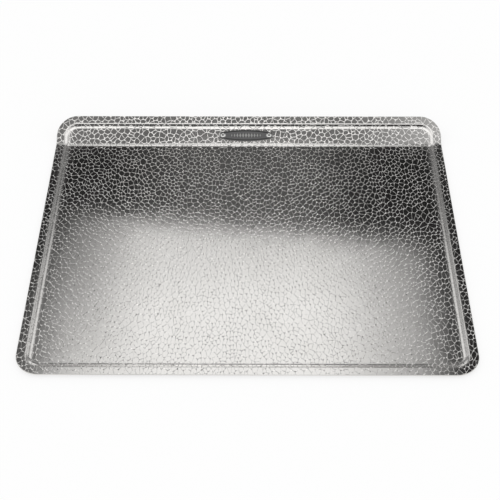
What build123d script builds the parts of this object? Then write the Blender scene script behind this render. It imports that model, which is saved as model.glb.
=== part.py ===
from build123d import *
import os
from math import cos, hypot, radians, sin, tan

# A cookie sheet: one pressed aluminium sheet with a shallow step all round, its rear edge bent up as a
# handle, and a small boat-shaped plate blind-riveted to the handle.
# Millimetres. +X runs along the long side, +Y from the front edge to the handle and +Z up. The origin is
# the middle of the footprint, on the surface that the sheet rests on.

# The sheet
sheet_width = 444.5
sheet_depth = 355.6  # front edge to rear edge, seen from above
sheet_thickness = 1.6
corner_radius = 24.0  # the four outer corners
edge_ease = 0.4  # rounding of the sheared edge, top and bottom

# The rim: a flat flange round the sheet and a wall from it down to the floor
flange_width = 8.8  # outer edge to wall, on the underside
step_height = 2.2  # floor to flange
wall_angle = 30.0
crease_radius = 3.0  # top face, where the flange turns down
cove_radius = 8.0  # top face, where the wall runs out into the floor

# The handle: the rear strip of floor and rim, bent up
handle_angle = 30.0
handle_length = 32.0  # flat, from the end of the bend to the rear edge
bend_radius = 10.0  # inside the bend, on the floor's top face

# The plate on the handle's flat strip, between the bend and the rim
plate_height_share = 0.78  # of the strip's width, across the plate's middle
plate_rise_share = 0.53  # of the strip's width, from the bend up to the plate's middle
plate_end_share = 0.304  # of the plate's height, as the radius of its round ends
plate_thickness = 1.2  # at the field, inside the border
plate_shift = -3.3  # plate's middle from the sheet's middle
border_width = 0.6
border_height = 0.4
border_chamfer = 0.15

# The blind rivets
rivet_spacing = 53.3
shank_radius = 1.6
shank_clearance = 0.1
head_clearance = 0.3  # round the head, inside the plate's border
head_height = 1.1
head_edge = 0.25  # straight side of the head, under the dome
bore_radius = 0.95
tail_radius = 2.4
tail_length = 2.6
mandrel_clearance = 0.05
mandrel_recess = 0.8  # broken end of the mandrel, below the head's mouth
mandrel_head_radius = 1.4
mandrel_head_height = 1.4
dome_share = 0.78  # of the head's rise, reached half way out
tail_seat_share = 0.85  # of the tail's width, where it bears on the sheet
tail_belly_share = 0.4  # of the tail's length, down to its widest place
nose_share = 0.6  # of the mandrel head's width and height, where its nose starts and ends

# The rim's section is drawn from the outer edge inwards
half_width = sheet_width / 2
half_wall_turn = tan(radians(wall_angle / 2))
wall_foot = flange_width + step_height / tan(radians(wall_angle))
cove_end = wall_foot + (cove_radius + sheet_thickness) * half_wall_turn
rim_width = cove_end + sheet_thickness
panel_inset = cove_end + sheet_thickness / 2  # the floor panel laps the rim by half a thickness

# The plate fills most of the strip, and the rivets' heads fit its round ends
strip_width = handle_length - cove_end
plate_height = plate_height_share * strip_width
plate_rise = plate_rise_share * strip_width
plate_end_radius = plate_end_share * plate_height
head_radius = plate_end_radius - border_width - head_clearance

# The bend turns about an axis above the sheet, and the sheet's depth sets where it starts
bend_axis_height = sheet_thickness + bend_radius
run = cos(radians(handle_angle))
rise = sin(radians(handle_angle))
rear_reach = bend_axis_height * rise + (handle_length - edge_ease) * run
rear_reach += edge_ease - (step_height + edge_ease) * rise
bend_y = sheet_depth / 2 - rear_reach
tray_length = sheet_depth - rear_reach

# Both ends of the sheet are drawn from the bend outwards, on the underside of the floor
tray_plane = Plane(origin=(0, bend_y, 0), x_dir=(-1, 0, 0), z_dir=(0, 0, 1))
handle_plane = Plane(
    origin=(0, bend_y + bend_axis_height * rise, bend_axis_height * (1 - run)),
    x_dir=(1, 0, 0),
    z_dir=(0, -rise, run),
)


def on_handle(x, y, z):
    """A plane lying along the handle, at a place given from the end of the bend."""
    origin = handle_plane.from_local_coords(Vector(x, y, z))
    return Plane(origin=origin, x_dir=handle_plane.x_dir, z_dir=handle_plane.z_dir)


def upright(plane):
    """The plane that stands on another one's X axis, with that plane's Z as its own Y."""
    return Plane(origin=plane.origin, x_dir=plane.x_dir, z_dir=-plane.y_dir)


def rim_line(lift):
    """Corners of the rim seen end on, `lift` above its underside: flange, wall, start of the floor."""
    shift = lift * half_wall_turn
    return [
        (0, step_height + lift),
        (flange_width + shift, step_height + lift),
        (wall_foot + shift, lift),
        (rim_width, lift),
    ]


def rim_section(plane):
    """The rim's closed section, one sheet thick throughout, with the outer edge eased."""
    upper_radii = [crease_radius, cove_radius]
    lower_radii = [crease_radius - sheet_thickness, cove_radius + sheet_thickness]
    with BuildSketch(plane) as section:
        with BuildLine():
            upper = FilletPolyline(*rim_line(sheet_thickness), radius=upper_radii)
            lower = FilletPolyline(*rim_line(0), radius=lower_radii)
            Line(upper @ 0, lower @ 0)
            Line(upper @ 1, lower @ 1)
        make_face()
        fillet(section.vertices().group_by(Axis.X)[0], radius=edge_ease)
    return section.sketch


def sheet_end(plane, length):
    """One end of the sheet: a U of rim round a flat floor panel, open where the bend begins."""
    with BuildPart() as end:
        with BuildLine(plane) as outer_edge:
            FilletPolyline(
                (-half_width, 0),
                (-half_width, length),
                (half_width, length),
                (half_width, 0),
                radius=corner_radius,
            )
        start = plane.from_local_coords(Vector(-half_width, 0, 0))
        across = upright(Plane(origin=start, x_dir=plane.x_dir, z_dir=plane.z_dir))
        sweep(sections=rim_section(across), path=outer_edge.wire())
        with BuildSketch(plane) as panel:
            Rectangle(
                sheet_width - 2 * panel_inset,
                length - panel_inset,
                align=(Align.CENTER, Align.MIN),
            )
            fillet(panel.vertices().group_by(Axis.Y)[-1], radius=corner_radius - panel_inset)
        extrude(amount=sheet_thickness)
    return end.part


def plate_outline(plane, inset):
    """The boat shape, `inset` from the plate's edge: two long arcs running into two round ends.

    Each long arc is tangent to both end circles, so its centre lies below the plate by `drop`.
    """
    half_spacing = rivet_spacing / 2
    end_radius = plate_end_radius - inset
    bulge = plate_height / 2 - plate_end_radius
    drop = (half_spacing**2 - bulge**2) / (2 * bulge)
    reach = end_radius / hypot(half_spacing, drop)
    shoulder_x = half_spacing * (1 + reach)
    shoulder_y = drop * reach
    with BuildSketch(plane) as outline:
        with BuildLine():
            for side in (1, -1):
                ThreePointArc(
                    (-shoulder_x, side * shoulder_y),
                    (0, side * (plate_height / 2 - inset)),
                    (shoulder_x, side * shoulder_y),
                )
                ThreePointArc(
                    (side * shoulder_x, shoulder_y),
                    (side * (half_spacing + end_radius), 0),
                    (side * shoulder_x, -shoulder_y),
                )
        make_face()
    return outline.sketch


def rivet_holes(plane):
    """The two round holes that the rivets pass through."""
    with BuildSketch(plane) as holes:
        with Locations((-rivet_spacing / 2, 0), (rivet_spacing / 2, 0)):
            Circle(shank_radius + shank_clearance)
    return holes.sketch


# Cookie sheet: the tray's end, the bend and the handle's end make one pressing
under_plate = on_handle(plate_shift, plate_rise, 0)
bend_start = Plane(origin=(0, bend_y, 0), x_dir=(1, 0, 0), z_dir=(0, -1, 0))
bend_axis = Axis((0, bend_y, bend_axis_height), (1, 0, 0))

with BuildPart() as cookie_sheet:
    add(sheet_end(tray_plane, tray_length))
    add(sheet_end(handle_plane, handle_length))
    with BuildSketch(bend_start) as strip:
        with Locations((-half_width, 0)):
            add(rim_section(Plane.XY))
        mirror(about=Plane.YZ)
        Rectangle(
            sheet_width - 2 * panel_inset,
            sheet_thickness,
            align=(Align.CENTER, Align.MIN),
        )
    revolve(axis=bend_axis, revolution_arc=handle_angle)
    extrude(rivet_holes(under_plate), amount=sheet_thickness, mode=Mode.SUBTRACT)

# Name plate: lies flat on the handle's floor, with a raised border round a bare field
plate_seat = on_handle(plate_shift, plate_rise, sheet_thickness)
plate_field = plate_seat.offset(plate_thickness)

with BuildPart() as name_plate:
    extrude(plate_outline(plate_seat, 0), amount=plate_thickness + border_height)
    extrude(plate_outline(plate_field, border_width), amount=border_height, mode=Mode.SUBTRACT)
    border_top = name_plate.faces().sort_by(Axis(plate_seat.origin, plate_seat.z_dir))[-1]
    chamfer(border_top.edges(), length=border_chamfer)
    extrude(rivet_holes(plate_seat), amount=plate_thickness, mode=Mode.SUBTRACT)


def rivet_body(seat):
    """The hollow rivet: domed head on the plate, shank, and the tail upset under the sheet."""
    under = -plate_thickness - sheet_thickness
    with BuildPart() as body:
        with BuildSketch(upright(seat)):
            with BuildLine():
                dome = ThreePointArc(
                    (bore_radius, head_height),
                    (
                        (bore_radius + head_radius) / 2,
                        head_edge + (head_height - head_edge) * dome_share,
                    ),
                    (head_radius, head_edge),
                )
                Polyline(dome @ 1, (head_radius, 0), (shank_radius, 0), (shank_radius, under))
                Polyline(
                    (shank_radius, under),
                    (tail_seat_share * tail_radius, under),
                    (tail_radius, under - tail_belly_share * tail_length),
                    (shank_radius, under - tail_length),
                    (bore_radius, under - tail_length),
                    dome @ 0,
                )
            make_face()
        revolve(axis=Axis(seat.origin, seat.z_dir))
    return body.part


def rivet_mandrel(seat):
    """The stub of the pulling pin: its head bears on the tail, its broken end is inside the head."""
    under = -plate_thickness - sheet_thickness - tail_length
    stem_radius = bore_radius - mandrel_clearance
    with BuildPart() as mandrel:
        with BuildSketch(upright(seat)):
            with BuildLine():
                Polyline(
                    (0, head_height - mandrel_recess),
                    (stem_radius, head_height - mandrel_recess),
                    (stem_radius, under),
                    (mandrel_head_radius, under),
                    (mandrel_head_radius, under - nose_share * mandrel_head_height),
                    (nose_share * mandrel_head_radius, under - mandrel_head_height),
                    (0, under - mandrel_head_height),
                    close=True,
                )
            make_face()
        revolve(axis=Axis(seat.origin, seat.z_dir))
    return mandrel.part


pieces = {"cookie_sheet": cookie_sheet.part, "name_plate": name_plate.part}
for name, side in (("left", -1), ("right", 1)):
    rivet_x = plate_shift + side * rivet_spacing / 2
    seat = on_handle(rivet_x, plate_rise, sheet_thickness + plate_thickness)
    pieces[name + "_rivet_body"] = rivet_body(seat)
    pieces[name + "_rivet_mandrel"] = rivet_mandrel(seat)

os.makedirs("parts", exist_ok=True)
for name, piece in pieces.items():
    piece.label = name
    export_step(piece, f"parts/{name}.step")
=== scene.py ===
import math

import bpy
import numpy as np
from mathutils import Matrix, Vector
from mathutils.geometry import delaunay_2d_cdt

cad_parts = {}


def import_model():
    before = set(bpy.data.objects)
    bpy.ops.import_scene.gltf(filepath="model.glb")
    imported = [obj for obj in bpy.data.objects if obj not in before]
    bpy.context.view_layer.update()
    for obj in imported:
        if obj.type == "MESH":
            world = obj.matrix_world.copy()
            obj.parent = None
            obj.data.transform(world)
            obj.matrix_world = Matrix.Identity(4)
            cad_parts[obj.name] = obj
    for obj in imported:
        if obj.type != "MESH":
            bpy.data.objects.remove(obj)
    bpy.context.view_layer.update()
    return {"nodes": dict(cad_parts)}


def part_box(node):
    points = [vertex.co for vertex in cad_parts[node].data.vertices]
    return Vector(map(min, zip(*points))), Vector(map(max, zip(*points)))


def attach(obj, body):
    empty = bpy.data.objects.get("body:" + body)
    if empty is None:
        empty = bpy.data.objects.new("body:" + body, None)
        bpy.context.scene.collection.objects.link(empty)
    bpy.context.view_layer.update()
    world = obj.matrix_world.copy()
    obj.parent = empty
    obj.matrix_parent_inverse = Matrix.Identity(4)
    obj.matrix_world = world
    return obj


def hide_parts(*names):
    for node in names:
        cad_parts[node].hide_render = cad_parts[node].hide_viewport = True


# A pressed aluminium cookie sheet with a pebbled surface. Metres. +X along the long side, +Y from the
# front edge to the raised handle, +Z up, with the floor at zero.
# The sheet is made in the flat first, as a blank: x runs across it, and s along it from the front edge
# over the tray, the bend and the handle to the rear edge. Then it is folded up at the bend.
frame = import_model()
MM = 0.001

# The sheet, as it is built in the frame
THICKNESS = 1.6 * MM
CORNER_RADIUS = 24 * MM
EDGE_EASE = 0.4 * MM
FLANGE_WIDTH = 8.8 * MM
STEP_HEIGHT = 2.2 * MM
WALL_ANGLE = math.radians(30)
CREASE_RADIUS = 3 * MM
COVE_RADIUS = 8 * MM
HANDLE_ANGLE = math.radians(30)
HANDLE_LENGTH = 32 * MM
BEND_RADIUS = 10 * MM
HOLE_RADIUS = 1.7 * MM

sheet_low, sheet_high = (np.array(corner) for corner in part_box("cookie_sheet"))
WIDTH = sheet_high[0] - sheet_low[0]
FRONT_Y = sheet_low[1]
HALF_TURN = math.tan(WALL_ANGLE / 2)
WALL_FOOT = FLANGE_WIDTH + STEP_HEIGHT / math.tan(WALL_ANGLE)

# The bend's axis and where the bend starts, from the rear edge back
RUN, RISE = math.cos(HANDLE_ANGLE), math.sin(HANDLE_ANGLE)
AXIS_HEIGHT = THICKNESS + BEND_RADIUS
REAR_REACH = AXIS_HEIGHT * RISE + (HANDLE_LENGTH - EDGE_EASE) * RUN
REAR_REACH += EDGE_EASE - (STEP_HEIGHT + EDGE_EASE) * RISE
BEND_Y = sheet_high[1] - REAR_REACH
TRAY_LENGTH = BEND_Y - FRONT_Y
BEND_LENGTH = BEND_RADIUS * HANDLE_ANGLE
BLANK_LENGTH = TRAY_LENGTH + BEND_LENGTH + HANDLE_LENGTH

# How finely the sheet's own lines are cut
OUTLINE_STEPS, OUTLINE_SPACING = 12, 40 * MM  # on each corner of the outline, and along its sides
CONTOUR_STEPS, CONTOUR_SPACING = 8, 60 * MM  # the same on the lines along the crease and the cove
CREASE_LINES, COVE_LINES, BEND_LINES = 4, 5, 5
EASE_STEPS = 2
HOLE_STEPS = 16

# The band that counts as wall, by its distance from the edge
WALL_START, WALL_RISE = 8.0 * MM, 1.0 * MM  # where it starts, and how far in from there it is full
WALL_END, WALL_FALL = 17.4 * MM, 3.2 * MM  # where it ends, and how far before that it starts to fade
SHEET_PARTS = ("side_wall", "front_wall", "underside")  # how far each point is on each of them

# The plate and its ornament
PLATE_THICKNESS = 1.2 * MM  # at the field
PLATE_BORDER = 0.4 * MM  # height of the border over the field
PLATE_ARC, PLATE_DROP = 143.45, 136.89  # radius of the long edges, and their centres' distance, in mm
ORNAMENTS = 5  # on each side of the middle one
LOZENGE = 3.0 * MM  # width of the middle one
LOZENGE_TALL = 2.1  # how much taller a lozenge is than wide
LOZENGE_TOP = 0.8  # size of its top face over that of its foot
LOZENGE_TAPER = 0.45  # how much smaller the last one is
LOZENGE_SPACING = 3.3 * MM
LOZENGE_HEIGHT = 0.32 * MM
LOZENGE_SINK = 0.1  # depth of its foot in the field, as a share of its height

# The pebbles
PEBBLE = 3.8 * MM  # pitch of the grid that the middles are scattered over
TRAY_STRETCH, HANDLE_STRETCH = 1.42, 1.05  # how much longer a pebble is from front to back than across
SQUEEZED_TRAY = TRAY_LENGTH / TRAY_STRETCH
PEBBLE_JITTER = 0.5  # how far a middle strays from that of its square, in pitches
CROWDED = 0.4  # how near two middles may lie, in pitches
# Share of every second square whose pebble is swallowed by its neighbours, on the handle and the tray
MERGED = 0.9, 0.45
OUT_OF_REACH = 100.0  # where the middle of a swallowed pebble goes
SAME_PLACE = 0.01 * MM
GROOVE_HALF = 0.21 * MM  # half its width on the tray
GROOVE_DEPTH = 0.112 * MM
GROOVE_BEND = 1.15  # the power by which a groove's side steepens
HANDLE_GROOVE = 1.55  # how much wider the grooves are on the handle
SIDE_WALL_RELIEF = 0.75  # how much of the relief the side walls lose
PEBBLE_TILT = math.radians(0.08)
ROUNDING = 0.4 * MM  # how far the pebbles' corners are rounded
SEED = 11

# The lines that the pebbles are cut along
MITRE_LIMIT = 0.35  # holds back the corner of a flat top where two sides nearly meet
SHARPEST = -0.6  # cosine of the angle at a corner, above which it is cut
CUT_SIDE, CUT_SHARE = 0.8 * MM, 0.32  # shortest side that is cut into, and how much of it goes
SHORTEST_LINE = 1e-5
CORNER_SHIFT = 0.04  # how far inside a triangle its corners' normals are read
TINY = 1e-12  # keeps a division by a length from failing


class Value:
    """A shader socket that takes part in Python arithmetic, adding a Math node for each step."""

    def __init__(self, tree, socket):
        self.tree, self.socket = tree, socket

    def math(self, operation, *others):
        """The result of a Math node on this value and others, which may be plain numbers."""
        node = self.tree.nodes.new("ShaderNodeMath")
        node.operation = operation
        for socket, value in zip(node.inputs, (self, *others)):
            if isinstance(value, Value):
                self.tree.links.new(value.socket, socket)
            else:
                socket.default_value = value
        return Value(self.tree, node.outputs[0])

    def __add__(self, other):
        return self.math("ADD", other)

    def __sub__(self, other):
        return self.math("SUBTRACT", other)

    def __mul__(self, other):
        return self.math("MULTIPLY", other)

    def __truediv__(self, other):
        return self.math("DIVIDE", other)

    def __rsub__(self, other):
        return (self * -1.0) + other

    __radd__ = __add__
    __rmul__ = __mul__

    def absolute(self):
        return self.math("ABSOLUTE")

    def smooth(self, low, high):
        """0 below `low`, 1 above `high` and an easy S between."""
        node = self.tree.nodes.new("ShaderNodeMapRange")
        node.interpolation_type = "SMOOTHSTEP"
        self.tree.links.new(self.socket, node.inputs["Value"])
        node.inputs["From Min"].default_value = low
        node.inputs["From Max"].default_value = high
        return Value(self.tree, node.outputs["Result"])

    def toward(self, other, share):
        """This value moved towards another: all this one at a share of 0, all the other at 1."""
        return self + (other - self) * share


class Finish:
    """A node material under construction."""

    def __init__(self, name):
        self.material = bpy.data.materials.new(name)
        self.material.use_nodes = True
        self.tree = self.material.node_tree
        self.tree.nodes.clear()

    def node(self, kind, settings=None, **sockets):
        """Any node: its type, its settings, and its sockets' values or links."""
        node = self.tree.nodes.new(kind)
        for key, value in (settings or {}).items():
            setattr(node, key, value)
        for key, value in sockets.items():
            socket = node.inputs[key.replace("_", " ")]
            if isinstance(value, Value):
                self.tree.links.new(value.socket, socket)
            else:
                socket.default_value = value
        return node

    def out(self, node, name=0):
        """One of a node's outputs, by its name or number."""
        return Value(self.tree, node.outputs[name])

    def place(self):
        """Where a point lies on its object."""
        return self.out(self.node("ShaderNodeTexCoord"), "Object")

    def axes(self, place):
        """X, Y and Z of a place."""
        parts = self.node("ShaderNodeSeparateXYZ", Vector=place)
        return [self.out(parts, k) for k in range(3)]

    def blend(self, factor, first, second):
        """A mix of two colours, each given as three numbers or as another mix."""
        node = self.node("ShaderNodeMix", {"data_type": "RGBA"}, Factor=factor)
        for socket, colour in zip((node.inputs[6], node.inputs[7]), (first, second)):
            if isinstance(colour, Value):
                self.tree.links.new(colour.socket, socket)
            else:
                socket.default_value = (*colour, 1)
        return self.out(node, 2)

    def finish(self, shader):
        """The material, once its last shader is linked to the surface."""
        output = self.tree.nodes.new("ShaderNodeOutputMaterial")
        self.tree.links.new(shader.outputs[0], output.inputs["Surface"])
        return self.material


def rim_height(u, lift):
    """Height of the rim `u` in from the outer edge, on the face that lies `lift` above the underside.

    From the edge inwards: the flat flange, a crease arc, the straight wall, a cove arc and the floor.
    Both faces of the sheet share the arcs' centres.
    """
    crease = CREASE_RADIUS - THICKNESS + lift
    cove = COVE_RADIUS + THICKNESS - lift
    wall_top = FLANGE_WIDTH + lift * HALF_TURN
    wall_foot = WALL_FOOT + lift * HALF_TURN
    crease_start = wall_top - crease * HALF_TURN
    cove_end = wall_foot + cove * HALF_TURN
    flange = STEP_HEIGHT + lift
    into_crease = np.clip(u - crease_start, 0, crease * math.sin(WALL_ANGLE))
    from_cove = np.clip(cove_end - u, 0, cove * math.sin(WALL_ANGLE))
    on_crease = flange - crease + np.sqrt(crease**2 - into_crease**2)
    on_cove = lift + cove - np.sqrt(cove**2 - from_cove**2)
    on_wall = flange - (u - wall_top) * math.tan(WALL_ANGLE)
    crease_end = crease_start + crease * math.sin(WALL_ANGLE)
    cove_start = cove_end - cove * math.sin(WALL_ANGLE)
    return np.where(u < crease_end, on_crease, np.where(u > cove_start, on_cove, on_wall))


def from_edge(x, s):
    """Distance in from the blank's outline, a rectangle with round corners."""
    out_x = np.abs(x) - (WIDTH / 2 - CORNER_RADIUS)
    out_s = np.abs(s - BLANK_LENGTH / 2) - (BLANK_LENGTH / 2 - CORNER_RADIUS)
    corner = np.hypot(np.maximum(out_x, 0), np.maximum(out_s, 0))
    return CORNER_RADIUS - corner - np.minimum(np.maximum(out_x, out_s), 0)


def slopes_of(height, x, s, step):
    """Slopes of a height over the blank along its two axes, by small differences."""
    along_x = height(x + step, s) - height(x - step, s)
    along_s = height(x, s + step) - height(x, s - step)
    return np.stack([along_x, along_s], -1) / (2 * step)


def rim_slopes(x, s, lift):
    """Slopes of the rim's height along the blank's two axes."""
    return slopes_of(lambda x, s: rim_height(from_edge(x, s), lift), x, s, 1e-7)


def walls(x, s):
    """How far a place of the blank is on a side wall, and on the front wall: 0 to 1.

    Each rises just before the crease and falls over the cove, and they share the corners by the slope
    of the distance from the edge.
    """
    inset = from_edge(x, s)
    band = np.clip((inset - WALL_START) / WALL_RISE, 0, 1) * np.clip((WALL_END - inset) / WALL_FALL, 0, 1)
    sideways = np.abs(slopes_of(from_edge, x, s, 1e-6)[..., 0])
    return band * sideways, band * (1 - sideways) * (s < BLANK_LENGTH / 2)


def relief_left(x, s):
    """Share of the pebbles' relief that the pressing leaves: less of it on the side walls."""
    return 1 - SIDE_WALL_RELIEF * walls(x, s)[0]


def bend_turn(s):
    """How far the blank has turned up at a place along it: none, then a steady arc, then all of it."""
    return np.clip((s - TRAY_LENGTH) / BEND_RADIUS, 0, HANDLE_ANGLE)


def fold(x, s, z):
    """Lays a point of the flat blank into place: turned about the bend's axis, then straight on."""
    turn = bend_turn(s)
    straight = s - TRAY_LENGTH - BEND_RADIUS * turn
    arm = AXIS_HEIGHT - z
    y = BEND_Y + arm * np.sin(turn) + straight * np.cos(turn)
    up = AXIS_HEIGHT - arm * np.cos(turn) + straight * np.sin(turn)
    return np.stack([x, y, up], -1)


def fold_normals(normals, s):
    """Turns normals of the flat blank about X with the bend."""
    turn = bend_turn(s)
    n_x, n_s, n_z = normals[..., 0], normals[..., 1], normals[..., 2]
    y = n_s * np.cos(turn) - n_z * np.sin(turn)
    z = n_s * np.sin(turn) + n_z * np.cos(turn)
    return np.stack([n_x, y, z], -1)


def squeeze(s):
    """Lengths along the blank with the pebbles' stretch taken out, on the tray and on the handle."""
    return np.minimum(s, TRAY_LENGTH) / TRAY_STRETCH + np.maximum(s - TRAY_LENGTH, 0) / HANDLE_STRETCH


def unsqueeze(t):
    """The way back from squeeze."""
    return np.minimum(t, SQUEEZED_TRAY) * TRAY_STRETCH + np.maximum(t - SQUEEZED_TRAY, 0) * HANDLE_STRETCH


def groove_half(t):
    """Half the width of the grooves round a pebble, by its place along the squeezed blank."""
    return GROOVE_HALF * np.where(t > SQUEEZED_TRAY, HANDLE_GROOVE, 1.0)


def circle_centres(middles, triangles):
    """The centre of the circle through each triangle of middles, where the borders of cells meet."""
    a, b, c = (middles[triangles[:, k]] for k in range(3))
    side_b, side_c = b - a, c - a
    cross = 2 * (side_b[:, 0] * side_c[:, 1] - side_b[:, 1] * side_c[:, 0])
    square_b, square_c = (side_b**2).sum(1), (side_c**2).sum(1)
    centre_x = (side_c[:, 1] * square_b - side_b[:, 1] * square_c) / cross
    centre_s = (side_b[:, 0] * square_c - side_c[:, 0] * square_b) / cross
    return a + np.stack([centre_x, centre_s], -1)


def walk_cells(middles, corners, triangles):
    """The corners of every cell in order round its middle, one slot for each.

    Gives the cell and the corner of each slot, and the slots after it and before it.
    """
    cell = triangles.ravel()
    corner = np.repeat(np.arange(len(triangles)), 3)
    away = corners[corner] - middles[cell]
    order = np.lexsort((np.arctan2(away[:, 1], away[:, 0]), cell))
    cell, corner = cell[order], corner[order]
    slots = np.arange(len(cell))
    first = np.r_[True, cell[1:] != cell[:-1]]
    last = np.r_[first[1:], True]
    start_of = np.maximum.accumulate(np.where(first, slots, 0))
    following = np.where(last, start_of, slots + 1)
    before = np.empty_like(following)
    before[following] = slots
    return cell, corner, following, before


class Pebbles:
    """The pressed pattern: cells round scattered middles, one in most squares of a grid.

    It is worked out on the squeezed blank, where a pebble is about as long as it is wide. A cell is the
    ground nearer to its middle than to any other. Its pebble is flat up to half a groove's width from
    the cell's border and falls from there into the groove.
    """

    REACH = 2  # squares on each side in which a cell's neighbours are sought

    def __init__(self):
        rng = np.random.default_rng(SEED)
        margin = self.REACH + 1
        self.columns = int(WIDTH / PEBBLE) + 2 * margin
        self.rows = int(squeeze(BLANK_LENGTH) / PEBBLE) + 2 * margin
        self.start = np.array([-WIDTH / 2, 0.0]) - margin * PEBBLE
        grid = np.meshgrid(np.arange(self.columns), np.arange(self.rows), indexing="ij")
        square = np.stack(grid, -1)
        jitter = rng.uniform(-PEBBLE_JITTER, PEBBLE_JITTER, square.shape)
        self.middles = self.start + (square + 0.5 + jitter) * PEBBLE
        self.tilts = rng.normal(0, PEBBLE_TILT, square.shape)
        share = np.where(self.middles[..., 1] > SQUEEZED_TRAY, *MERGED)
        self.merged = rng.random(square.shape[:2]) < share
        self.merged &= square.sum(-1) % 2 == 0
        self.merged |= self.crowded()
        self.middles[self.merged] += OUT_OF_REACH

    def crowded(self):
        """Squares whose middle lies too close to that of a square on the right or above."""
        close = np.zeros((self.columns, self.rows), bool)
        for step in ((1, 0), (0, 1), (1, 1), (1, -1)):
            other = np.roll(self.middles, (-step[0], -step[1]), (0, 1))
            close |= np.hypot(*np.moveaxis(other - self.middles, -1, 0)) < CROWDED * PEBBLE
        return close

    def around(self, x, t):
        """The middle of the cell that holds each point, its tilt, and the middles near it."""
        column = np.floor((x - self.start[0]) / PEBBLE).astype(int)
        row = np.floor((t - self.start[1]) / PEBBLE).astype(int)
        steps = np.arange(-self.REACH, self.REACH + 1)
        near_column = np.clip(column[:, None] + np.repeat(steps, len(steps)), 0, self.columns - 1)
        near_row = np.clip(row[:, None] + np.tile(steps, len(steps)), 0, self.rows - 1)
        near = self.middles[near_column, near_row]
        gap = np.hypot(near[..., 0] - x[:, None], near[..., 1] - t[:, None])
        own = gap.argmin(1)
        each = np.arange(len(x))
        return near[each, own], self.tilts[near_column[each, own], near_row[each, own]], near

    def relief(self, x, s):
        """Height under the pebbles' tops, its two slopes and `down`, at points of the blank.

        The distance to the cell's border is a soft minimum of the distances to the lines half way to
        each neighbour, so that corners are round. The groove's depth is GROOVE_DEPTH times a power of
        `down`, which is 0 at the flat top's edge and 1 at the border.
        """
        stretch = np.where(s < TRAY_LENGTH, TRAY_STRETCH, HANDLE_STRETCH)
        t = squeeze(s)
        own, tilt, near = self.around(x, t)
        to_near = near - own[:, None]
        span = np.hypot(to_near[..., 0], to_near[..., 1])
        span[span < SAME_PLACE] = 1.0
        heading = to_near / span[..., None]
        offset = np.stack([x, t], -1) - own
        beyond = (heading * offset[:, None]).sum(-1) - span / 2
        most = beyond.max(1, keepdims=True)
        share = np.exp((beyond - most) / ROUNDING)
        border = most[:, 0] + ROUNDING * np.log(share.sum(1))
        slope = (share[..., None] * heading).sum(1) / share.sum(1)[:, None]
        half = groove_half(own[:, 1])
        down = np.clip(1 + border / half, 0, 1)
        height = -GROOVE_DEPTH * down**GROOVE_BEND
        height -= (np.hypot(*tilt.T) * PEBBLE - (tilt * offset).sum(-1)) * (1 - down)
        steep = GROOVE_DEPTH * GROOVE_BEND * down ** (GROOVE_BEND - 1) / half
        slopes = -steep[:, None] * slope + tilt * (1 - down)[:, None]
        slopes[:, 1] /= stretch
        return height, slopes, down

    def network(self):
        """The borders of the cells and the outlines of the flat tops, as points and edges.

        A flat top is its cell with every side moved in by half a groove, and its corners cut.
        """
        middles = self.middles[~self.merged]
        triangles = np.array(delaunay_2d_cdt((middles / MM).tolist(), [], [], 0, 1e-6, False)[2])
        corners = circle_centres(middles, triangles)
        cell, corner, following, before = walk_cells(middles, corners, triangles)

        place = corners[corner]
        side = place[following] - place
        side /= np.hypot(*side.T)[:, None] + TINY
        inward = np.stack([-side[:, 1], side[:, 0]], -1)
        both = inward + inward[before]
        mitre = np.maximum((inward * both).sum(1), MITRE_LIMIT)
        inner = place + groove_half(middles[cell][:, 1])[:, None] * both / mitre[:, None]

        back, ahead = inner[before] - inner, inner[following] - inner
        back_length = np.hypot(*back.T)[:, None] + TINY
        ahead_length = np.hypot(*ahead.T)[:, None] + TINY
        shorter = np.minimum(back_length, ahead_length)
        turn = (back * ahead).sum(1, keepdims=True) / (back_length * ahead_length)
        onward = (side * ahead).sum(1)
        flipped = (onward < 0) | ((side[before] * back).sum(1) > 0)
        sharp = (turn > SHARPEST) & (shorter > CUT_SIDE) & ~flipped[:, None]
        cut = CUT_SHARE * shorter
        cut_in = np.where(sharp, inner + back / back_length * cut, inner)
        cut_out = np.where(sharp, inner + ahead / ahead_length * cut, inner)

        count, slots = len(corners), len(cell)
        points = np.concatenate([corners, cut_in, cut_out])
        points[:, 1] = unsqueeze(points[:, 1])
        into, out_of = count + np.arange(slots), count + slots + np.arange(slots)
        borders = np.stack([corner, corner[following]], -1)
        tops = np.stack([out_of, into[following]], -1)[onward > 0]
        cuts = np.stack([into, out_of], -1)[sharp[:, 0]]
        edges = np.concatenate([borders, tops, cuts])

        keep = (from_edge(*points.T) > -2 * PEBBLE)[edges].all(1)
        keep &= np.hypot(*(points[edges[:, 0]] - points[edges[:, 1]]).T) > SHORTEST_LINE
        return points, edges[keep]


def ring(inset, arc_steps, spacing):
    """Points round the blank, `inset` from its outline, anticlockwise, as a closed loop."""
    radius = CORNER_RADIUS - inset
    middle = BLANK_LENGTH / 2
    reach = np.array([WIDTH / 2 - CORNER_RADIUS, middle - CORNER_RADIUS])
    points = []
    for turn, *side in ((0, 1, 1), (1, -1, 1), (2, -1, -1), (3, 1, -1)):
        centre = np.array([0, middle]) + side * reach
        angle = (turn + np.linspace(0, 1, arc_steps + 1)) * math.pi / 2
        arc = centre + radius * np.stack([np.cos(angle), np.sin(angle)], -1)
        length = (BLANK_LENGTH if turn % 2 else WIDTH) - 2 * CORNER_RADIUS
        pieces = max(1, round(length / spacing))
        heading = np.array([-math.sin(angle[-1]), math.cos(angle[-1])])
        along = np.arange(1, pieces)[:, None] / pieces * length * heading
        points.extend([arc, arc[-1] + along])
    return np.concatenate(points)


def circle(centre, radius, steps):
    """Points round a circle, as a closed loop."""
    angle = np.arange(steps) / steps * 2 * math.pi
    return np.array(centre) + radius * np.stack([np.cos(angle), np.sin(angle)], -1)


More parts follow.
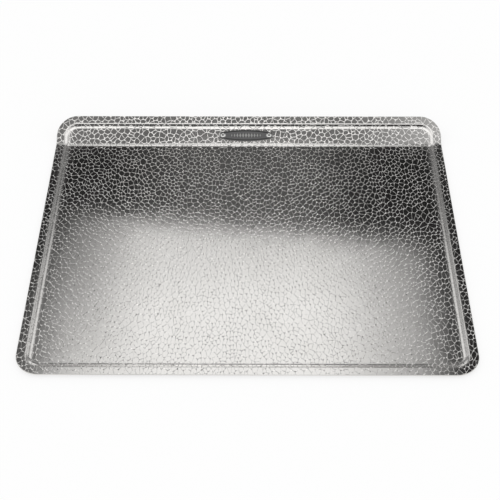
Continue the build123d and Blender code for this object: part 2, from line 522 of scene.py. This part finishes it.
def inside(points, loop):
    """Whether each point lies in the loop: a ray from it crosses the loop an odd number of times."""
    after = np.roll(loop, -1, 0)
    x, y = points[:, :1], points[:, 1:]
    straddles = (loop[:, 1] > y) != (after[:, 1] > y)
    fall = np.where(straddles, after[:, 1] - loop[:, 1], 1.0)
    crossing = loop[:, 0] + (y - loop[:, 1]) / fall * (after[:, 0] - loop[:, 0])
    return (straddles & (x < crossing)).sum(1) % 2 == 1


def compact(index, count):
    """Which of `count` entries `index` uses, and `index` renumbered to those alone."""
    used = np.unique(index)
    number = np.full(count, -1)
    number[used] = np.arange(len(used))
    return used, number[index]


def triangulate(loops, holes, lines, points=np.empty((0, 2)), edges=np.empty((0, 2), int)):
    """Cuts the ground inside loops[0] and outside the holes into triangles.

    They follow every loop, hole and line given, and the edges between the points.
    """
    all_points, all_edges, count = [points], [edges], len(points)
    for path in (*loops, *holes, *lines):
        index = count + np.arange(len(path))
        links = np.stack([index, np.roll(index, -1)], -1)
        all_points.append(path)
        all_edges.append(links if len(path) > 2 else links[:1])  # a line has two points and isn't closed
        count += len(path)
    flat = np.concatenate(all_points) / MM
    used, links = compact(np.concatenate(all_edges), len(flat))
    found, _, triangles, *_ = delaunay_2d_cdt(flat[used].tolist(), links.tolist(), [], 0, 1e-3, False)
    found, triangles = np.array(found) * MM, np.array(triangles)
    middle = found[triangles].mean(1)
    keep = inside(middle, loops[0])
    for hole in holes:
        keep &= ~inside(middle, hole)
    used, triangles = compact(triangles[keep], len(found))
    return found[used], triangles


def border_loops(triangles):
    """The loops of vertices round the rim of a triangulated sheet, in the triangles' own sense."""
    edges = np.concatenate([triangles[:, [0, 1]], triangles[:, [1, 2]], triangles[:, [2, 0]]])
    key = edges.min(1).astype(np.int64) * (edges.max() + 1) + edges.max(1)
    _, where, times = np.unique(key, return_inverse=True, return_counts=True)
    follow = dict(edges[times[where] == 1].tolist())
    loops = []
    while follow:
        start, vertex = follow.popitem()
        loop = [start]
        while vertex != start:
            loop.append(vertex)
            vertex = follow.pop(vertex)
        loops.append(np.array(loop))
    return sorted(loops, key=len, reverse=True)


def flat_faces(network, rivet_places):
    """The top and the underside in the flat, each as points and triangles, and the top's border loops.

    Both are cut along the crease, the cove and the bend, and the top along the pebbles as well.
    """
    crease_start = FLANGE_WIDTH + (THICKNESS - CREASE_RADIUS) * HALF_TURN
    crease_end = crease_start + CREASE_RADIUS * math.sin(WALL_ANGLE)
    cove_end = WALL_FOOT + (THICKNESS + COVE_RADIUS) * HALF_TURN
    cove_start = cove_end - COVE_RADIUS * math.sin(WALL_ANGLE)
    insets = np.r_[
        np.linspace(crease_start, crease_end, CREASE_LINES), np.linspace(cove_start, cove_end, COVE_LINES)
    ]
    outline = ring(EDGE_EASE, OUTLINE_STEPS, OUTLINE_SPACING)
    contours = [ring(inset, CONTOUR_STEPS, CONTOUR_SPACING) for inset in insets]
    across = WIDTH / 2 - EDGE_EASE
    bends = TRAY_LENGTH + BEND_LENGTH * np.linspace(0, 1, BEND_LINES)
    lines = [np.array([[-across, s], [across, s]]) for s in bends]
    holes = [circle(place, HOLE_RADIUS, HOLE_STEPS) for place in rivet_places]
    top, top_faces = triangulate([outline, *contours], holes, lines, *network)
    rims = border_loops(top_faces)
    borders = [top[rim] for rim in rims]
    under, under_faces = triangulate([borders[0], *contours], borders[1:], lines)
    return top, top_faces, rims, under, under_faces[:, ::-1]


def face_normals(slopes, s, side):
    """Normals of a face of the blank from its slopes, folded up: side is 1 for the top, -1 for under."""
    normals = np.column_stack([-slopes, np.ones(len(slopes))]) * side
    return fold_normals(normals / np.linalg.norm(normals, axis=-1, keepdims=True), s)


def top_normals(pebbles, top, faces):
    """Normals at the corners of the top's triangles, each read a little inside its triangle.

    A triangle on the flat of a pebble takes the slope at its middle for all three.
    """
    middle = top[faces].mean(1)
    _, flat_slopes, down = pebbles.relief(*middle.T)
    corner = (top[faces] * (1 - CORNER_SHIFT) + middle[:, None] * CORNER_SHIFT).reshape(-1, 2)
    slopes = pebbles.relief(*corner.T)[1] * relief_left(*corner.T)[:, None]
    slopes = slopes.reshape(-1, 3, 2)
    slopes[down == 0] = flat_slopes[down == 0][:, None]
    return face_normals(slopes.reshape(-1, 2) + rim_slopes(*corner.T, THICKNESS), corner[:, 1], 1)


def under_normals(under, faces):
    """Normals at the corners of the underside's triangles."""
    corner = under[faces].reshape(-1, 2)
    return face_normals(rim_slopes(*corner.T, 0.0), corner[:, 1], -1)


def eased_edge(place, out, relief):
    """The rounded edge outside the top's border: the points of its rings, and the angle each faces.

    Two quarter circles lead from the flange's top to the underside, and the relief fades out over the
    first of them.
    """
    quarter = np.linspace(0, math.pi / 2, EASE_STEPS + 1)[1:]
    angles = [*quarter, *(math.pi - quarter[::-1])]
    centres = np.repeat([STEP_HEIGHT + THICKNESS - EDGE_EASE, STEP_HEIGHT + EDGE_EASE], EASE_STEPS)
    rings = []
    for angle, centre in zip(angles, centres):
        at = place + out * EDGE_EASE * math.sin(angle)
        at = np.clip(at, (-WIDTH / 2, 0), (WIDTH / 2, BLANK_LENGTH))
        fade = 1 - math.sin(angle) if angle < math.pi / 2 else 0.0
        rings.append(np.column_stack([at, centre + EDGE_EASE * math.cos(angle) + relief * fade]))
    return rings, angles


def leaning_normals(out, turn, s):
    """Normals that lean from straight up towards `out` by an angle, folded with the blank."""
    return fold_normals(np.column_stack([out * math.sin(turn), np.full(len(out), math.cos(turn))]), s)


def strip(upper, lower, upper_normals, lower_normals):
    """Triangles between two closed rings of points, and the normals at their corners."""
    faces, normals = (
        np.stack([a, b, np.roll(b, -1, 0), a, np.roll(b, -1, 0), np.roll(a, -1, 0)], 1)
        for a, b in ((upper, lower), (upper_normals, lower_normals))
    )
    return faces.reshape(-1, 3), normals.reshape(-1, 3)


def build_mesh(name, vertices, faces, normals):
    """A mesh object from arrays: vertices, triangles and one normal for each triangle's corner."""
    real = (faces != np.roll(faces, 1, 1)).all(1)
    faces, normals = faces[real], normals.reshape(-1, 3, 3)[real]
    mesh = bpy.data.meshes.new(name)
    mesh.vertices.add(len(vertices))
    mesh.vertices.foreach_set("co", vertices.ravel())
    mesh.loops.add(faces.size)
    mesh.loops.foreach_set("vertex_index", faces.ravel())
    mesh.polygons.add(len(faces))
    mesh.polygons.foreach_set("loop_start", np.arange(len(faces)) * 3)
    mesh.polygons.foreach_set("use_smooth", np.ones(len(faces), bool))
    mesh.update(calc_edges=True)
    mesh.validate()
    mesh.normals_split_custom_set(normals.reshape(-1, 3).tolist())
    piece = bpy.data.objects.new(name, mesh)
    bpy.context.scene.collection.objects.link(piece)
    return piece


def sheet_piece(rivet_places):
    """The pressed sheet as one closed mesh: pebbled top, eased edge, smooth underside and two holes.

    It is built in the flat and folded, and every corner gets its true normal.
    """
    pebbles = Pebbles()
    top, top_faces, rims, under, under_faces = flat_faces(pebbles.network(), rivet_places)
    relief = pebbles.relief(*top.T)[0] * relief_left(*top.T)
    top_z = rim_height(from_edge(*top.T), THICKNESS) + relief
    under_z = rim_height(from_edge(*under.T), 0.0)
    flat = [np.column_stack([top, top_z]), np.column_stack([under, under_z])]
    faces = [top_faces, under_faces + len(top)]
    normals = [top_normals(pebbles, top, top_faces), under_normals(under, under_faces)]

    count = len(top) + len(under)
    for rim in rims:
        place = top[rim]
        below = np.abs(under - place[:, None]).sum(-1).argmin(1)
        outer = rim is rims[0]
        out = -slopes_of(from_edge, *place.T, 1e-6) if outer else place.mean(0) - place
        out /= np.linalg.norm(out, axis=1, keepdims=True)
        edge, angles = eased_edge(place, out, relief[rim]) if outer else ([], [])
        flat.extend(edge)
        between = count + np.arange(len(edge) * len(rim)).reshape(len(edge), len(rim))
        count += between.size
        turns = [0.0, *angles, math.pi] if outer else [math.pi / 2, math.pi / 2]
        facing = [leaning_normals(out, turn, place[:, 1]) for turn in turns]
        rings = [rim, *between, len(top) + below]
        for k in range(len(rings) - 1):
            strip_faces, strip_normals = strip(rings[k], rings[k + 1], facing[k], facing[k + 1])
            faces.append(strip_faces)
            normals.append(strip_normals)

    flat = np.concatenate(flat)
    piece = build_mesh("pebbled_sheet", fold(*flat.T), np.concatenate(faces), np.concatenate(normals))
    underside = np.zeros(len(flat))
    underside[len(top) : len(top) + len(under)] = 1
    for name, share in zip(SHEET_PARTS, (*walls(flat[:, 0], flat[:, 1]), underside)):
        layer = piece.data.attributes.new(name, "FLOAT", "POINT")
        layer.data.foreach_set("value", share.astype(np.float32))
    return piece


def brushed_aluminium():
    """Bright aluminium with faint stains, a fine grain and painted shade at the tray's sides, dull below.

    The side walls carry the most painted shade where they begin and end, and all walls are a little
    rougher.
    """
    bright, stained = (0.80, 0.785, 0.765), (0.74, 0.725, 0.70)
    # The third colour is that of the painted shade at the tray's sides
    side_shade_colour, dull = (0.576, 0.565, 0.55), (0.36, 0.345, 0.325)
    finish = Finish("bright_aluminium")
    place = finish.place()
    x, y, _ = finish.axes(place)
    stains = finish.node("ShaderNodeTexNoise", Vector=place, Scale=18.0, Detail=4.0, Roughness=0.6)
    stain = finish.out(stains).smooth(0.35, 0.75)
    grain = finish.out(finish.node("ShaderNodeTexNoise", Vector=place, Scale=1600.0, Detail=2.0))
    side, front, under = (
        finish.out(finish.node("ShaderNodeAttribute", {"attribute_name": name}), "Fac")
        for name in SHEET_PARTS
    )

    # Painted shade at the tray's sides: on the right more towards the back, on the left too, and none on
    # the handle
    painted_side_shade = x.smooth(0.05, 0.13) * (0.25 + y.smooth(-0.04, 0.06) * 0.75)
    painted_side_shade = painted_side_shade + (1 - x.smooth(-0.18, -0.11)) * y.smooth(-0.18, 0.04)
    # More painted shade on the side walls, most where they begin and end
    painted_side_shade = painted_side_shade * (1 - side * 0.4) + side * (1 - side) * 4
    painted_side_shade = painted_side_shade * (1 - y.smooth(0.135, 0.147))
    colour = finish.blend(stain * 0.5, bright, stained)
    colour = finish.blend(painted_side_shade, colour, side_shade_colour)
    colour = finish.blend(under * (0.7 + stain * 0.3), colour, dull)

    rough = 0.07 + stain * 0.02 + grain * 0.015
    rough = rough + side * 0.15 + front * 0.12 + under * 0.3
    bump = finish.node("ShaderNodeBump", Height=grain, Strength=0.04, Distance=0.0002)
    shader = finish.node(
        "ShaderNodeBsdfPrincipled",
        Base_Color=colour,
        Metallic=1.0,
        Roughness=rough,
        Normal=finish.out(bump),
    )
    return finish.finish(shader)


def patchy_metal(finish, place, colour, roughness):
    """Metal of the given colour, with patches a little smoother and a little rougher than stated."""
    patches = finish.out(finish.node("ShaderNodeTexNoise", Vector=place, Scale=700.0, Detail=3.0))
    rough = patches * 0.15 + (roughness - 0.07)
    shader = finish.node("ShaderNodeBsdfPrincipled", Base_Color=colour, Metallic=1.0, Roughness=rough)
    return finish.finish(shader)


def plain_metal(name, colour, roughness):
    """Metal of one colour, for the ornament, the rivets and the pins."""
    finish = Finish(name)
    return patchy_metal(finish, finish.place(), (*colour, 1), roughness)


def dark_plate():
    """Dark pewter, with painted shade in the recess along the border.

    The distance in from the long edges is that from two arcs, one above and one below the plate.
    """
    low, high = (np.array(corner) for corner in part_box("name_plate"))
    middle = (low + high) / 2 / MM
    finish = Finish("dark_plate")
    place = finish.place()
    x, y, z = (axis / MM for axis in finish.axes(place))
    across = x - middle[0]
    along = ((y - middle[1]) * RUN + (z - middle[2]) * RISE).absolute() + PLATE_DROP
    from_arc = PLATE_ARC - (across * across + along * along).math("SQRT")
    # Painted shade: the plate's colour darkens in the recess along the border
    painted_recess_shade = from_arc.smooth(0.4, 0.8) * (1 - from_arc.smooth(0.9, 2.2))
    return patchy_metal(finish, place, 0.155 - painted_recess_shade * 0.11, 0.31)


def give(piece, material):
    """Makes the material the piece's only one."""
    piece.data.materials.clear()
    piece.data.materials.append(material)


def ornament():
    """The plate's plain ornament: a row of raised lozenges, smaller towards the ends.

    Each is a low block with four corners and a smaller top, its foot a little under the plate's field.
    The arrays' axes are the lozenge, its foot and top, the corner, and the coordinate.
    """
    low, high = (np.array(corner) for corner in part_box("name_plate"))
    across, along, outward = np.array([1, 0, 0]), np.array([0, RUN, RISE]), np.array([0, -RISE, RUN])
    field = (low + high) / 2 + outward * (PLATE_THICKNESS - PLATE_BORDER) / 2

    step = np.arange(-ORNAMENTS, ORNAMENTS + 1)
    size = LOZENGE * (1 - LOZENGE_TAPER * (np.abs(step) / ORNAMENTS) ** 2)
    corner = np.array([[1, 0], [0, LOZENGE_TALL], [-1, 0], [0, -LOZENGE_TALL]])
    share, level = np.array([1.0, LOZENGE_TOP]), np.array([-LOZENGE_SINK, 1.0])
    wide = corner * share[:, None, None] * size[:, None, None, None] / 2
    middle = field + step[:, None] * LOZENGE_SPACING * across
    vertices = middle[:, None, None] + wide[..., :1] * across + wide[..., 1:] * along
    vertices = vertices + (level * LOZENGE_HEIGHT)[:, None, None] * outward

    foot = np.arange(4)
    after = (foot + 1) % 4
    lower = np.stack([foot, after, after + 4], -1)
    upper = np.stack([foot, after + 4, foot + 4], -1)
    caps = np.array([[4, 5, 6], [4, 6, 7], [2, 1, 0], [3, 2, 0]])
    faces = np.concatenate([lower, upper, caps]) + 8 * np.arange(len(step))[:, None, None]
    vertices, faces = vertices.reshape(-1, 3), faces.reshape(-1, 3)
    side_a, side_b = (vertices[faces[:, k]] - vertices[faces[:, 0]] for k in (1, 2))
    normals = np.cross(side_a, side_b)
    normals /= np.linalg.norm(normals, axis=1, keepdims=True)
    return build_mesh("plate_ornament", vertices, faces, np.repeat(normals, 3, 0))


def white_floor():
    """The studio's floor, nearly white by its own light, so that the sheet's shadow on it stays faint."""
    finish = Finish("white_floor")
    shader = finish.node(
        "ShaderNodeBsdfPrincipled",
        Base_Color=(0.3, 0.3, 0.3, 1),
        Roughness=1.0,
        Specular_IOR_Level=0.0,
        Emission_Color=(0.69, 0.69, 0.69, 1),
        Emission_Strength=1.0,
    )
    bpy.ops.mesh.primitive_plane_add(size=8)
    floor = bpy.context.object
    floor.name = "studio_floor"
    give(floor, finish.finish(shader))


def tent_light(finish):
    """Brightness of the dome, by azimuth (0 at the back, to the right) and elevation, in degrees."""
    x, y, z = finish.axes(finish.place())
    azimuth = x.math("ARCTAN2", y) * (180 / math.pi)
    elevation = (z / (x * x + y * y + z * z).math("SQRT")).math("ARCSINE") * (180 / math.pi)
    away = azimuth.absolute()
    beside = x.absolute()

    # All round: bright, and brighter high up, most of all from the sides round to the camera. Dim low
    # down except at the back, and near the top except in the middle
    level = 0.75 + elevation.smooth(34, 58) * 0.25
    level = level + elevation.smooth(40, 48) * away.smooth(74, 84) * 0.28
    level = level * (1 - (1 - elevation.smooth(8, 16)) * away.smooth(24, 34) * 0.75)
    level = level * (1 - elevation.smooth(62, 72) * beside.smooth(0.08, 0.34) * 0.75)

    # Half way up at the back: a dark band that lightens upwards, more so on the right
    side = 0.12 + elevation.smooth(29.5, 42.5) * (0.5 + x.smooth(-0.8, 0.8) * 0.45)
    band = elevation.smooth(24, 28) * (1 - elevation.smooth(44, 52)) * (1 - away.smooth(43, 49))
    level = level.toward(side, band)

    # Low at the back: a bright panel that darkens to both sides
    panel = 1.4 - (azimuth + 3).absolute().smooth(7, 17) * 1.17
    level = level.toward(panel, (1 - elevation.smooth(18, 30)) * (1 - away.smooth(26, 40)))

    # Low behind the camera: dark
    level = level.toward(0.06, (1 - elevation.smooth(28, 33)) * away.smooth(136, 158))

    # Overhead: the grey strip that the handle looks at
    ceiling = 0.13 + x.smooth(0.2, 0.5) * 0.34 + (1 - x.smooth(-0.42, -0.24)) * 0.05
    overhead = y.smooth(-0.2, -0.165) * (1 - y.smooth(-0.065, -0.03)) * (1 - beside.smooth(0.55, 0.7))
    level = level.toward(ceiling, overhead * z.smooth(0.5, 0.6))

    # At the back: the softbox, brightest in its middle and over the low arch that is its lower edge
    width = ((elevation - 42) * 1.3 + 24.5).math("MINIMUM", (elevation - 47) * 1.05 + 31)
    reach = (azimuth + 1.8).absolute() / width.math("MAXIMUM", 8)
    box = 1 - reach.smooth(0.33, 0.85) * 0.55 - reach.smooth(0.74, 0.97) * 0.43
    box = box + elevation.smooth(46, 53) * (1 - azimuth.smooth(-29, -22)) * 0.04
    box = box + elevation.smooth(53, 57) * (1 - azimuth.smooth(-29, -20)) * 0.18
    box = box * (0.72 + elevation.smooth(43, 46.5) * 0.1 + elevation.smooth(46.5, 54) * 0.21)

    # The dark under the arch and beside the softbox
    arch = 46.45 - (azimuth - 6) * (azimuth - 6) * 0.005
    dark = 0.09 - away.smooth(4, 18) * 0.07
    back = dark.toward(box, (elevation - arch).smooth(-1.0, 1.0))
    spread = ((elevation - 43.5) * 1.04 + 28).math("MAXIMUM", 8)
    mask = (1 - (away / spread).smooth(1.12, 1.25)) * (1 - away.smooth(60, 70))
    return level.toward(back, mask * elevation.smooth(33.5, 36) * (1 - elevation.smooth(67, 69)))


def studio_tent():
    """A dome that only reflections see, painted with the lights of the studio."""
    finish = Finish("studio_tent")
    shader = finish.node("ShaderNodeEmission", Color=tent_light(finish))
    bpy.ops.mesh.primitive_uv_sphere_add(segments=48, ring_count=24, radius=1.5)
    tent = bpy.context.object
    tent.name = "studio_tent"
    give(tent, finish.finish(shader))
    for ray in ("camera", "diffuse", "transmission", "volume_scatter", "shadow"):
        setattr(tent, "visible_" + ray, False)


def camera():
    """The photograph's viewpoint, found from the outline: pitch, small yaw and roll, aim and distance."""
    pitch, yaw, roll = math.radians(47.5), 0.0051, -0.0016
    aim = Vector((2.03 * MM, FRONT_Y + 159.74 * MM, STEP_HEIGHT + THICKNESS))
    distance = 1091.3 * MM
    focal_pixels, photo_pixels, sensor = 1042.0, 500, 36
    turn = Matrix.Rotation(yaw, 3, "Z")
    forward = turn @ Vector((0, math.cos(pitch), -math.sin(pitch)))
    up = turn @ Vector((0, math.sin(pitch), math.cos(pitch)))
    right = turn @ Vector((1, 0, 0))
    right, up = (
        math.cos(roll) * right + math.sin(roll) * up,
        -math.sin(roll) * right + math.cos(roll) * up,
    )
    data = bpy.data.cameras.new("photo_camera")
    data.sensor_width = sensor
    data.lens = focal_pixels / photo_pixels * sensor
    body = bpy.data.objects.new("photo_camera", data)
    facing = Matrix((right, up, -forward)).transposed().to_4x4()
    body.matrix_world = Matrix.Translation(aim - forward * distance) @ facing
    bpy.context.scene.collection.objects.link(body)
    bpy.context.scene.camera = body


def world():
    """Plain white light from all round."""
    studio = bpy.data.worlds.new("studio")
    studio.use_nodes = True
    studio.node_tree.nodes["Background"].inputs["Color"].default_value = (1, 1, 1, 1)
    bpy.context.scene.world = studio


def blank_place(node):
    """Where a piece on the handle sits in the flat blank, from its middle."""
    low, high = (np.array(corner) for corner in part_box(node))
    x, y, z = (low + high) / 2
    along = (y - BEND_Y - AXIS_HEIGHT * RISE) * RUN + (z - AXIS_HEIGHT * (1 - RUN)) * RISE
    return x, TRAY_LENGTH + BEND_LENGTH + along


rivets = ("left_rivet_body", "right_rivet_body")
sheet = sheet_piece([blank_place(node) for node in rivets])
give(sheet, brushed_aluminium())
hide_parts("cookie_sheet")
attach(sheet, "root")

row = ornament()
give(row, plain_metal("rubbed_plate", (0.42, 0.42, 0.41), 0.3))
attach(row, "root")
give(frame["nodes"]["name_plate"], dark_plate())
for node in rivets:
    give(frame["nodes"][node], plain_metal("rivet_" + node, (0.68, 0.68, 0.665), 0.06))
# The pins are painted near black: painted shade in the rivets' hollow centres
for node in ("left_rivet_mandrel", "right_rivet_mandrel"):
    give(frame["nodes"][node], plain_metal("painted_shade_pin_" + node, (0.06, 0.06, 0.06), 0.4))

white_floor()
studio_tent()
world()
camera()
bpy.context.scene.view_settings.view_transform = "Standard"
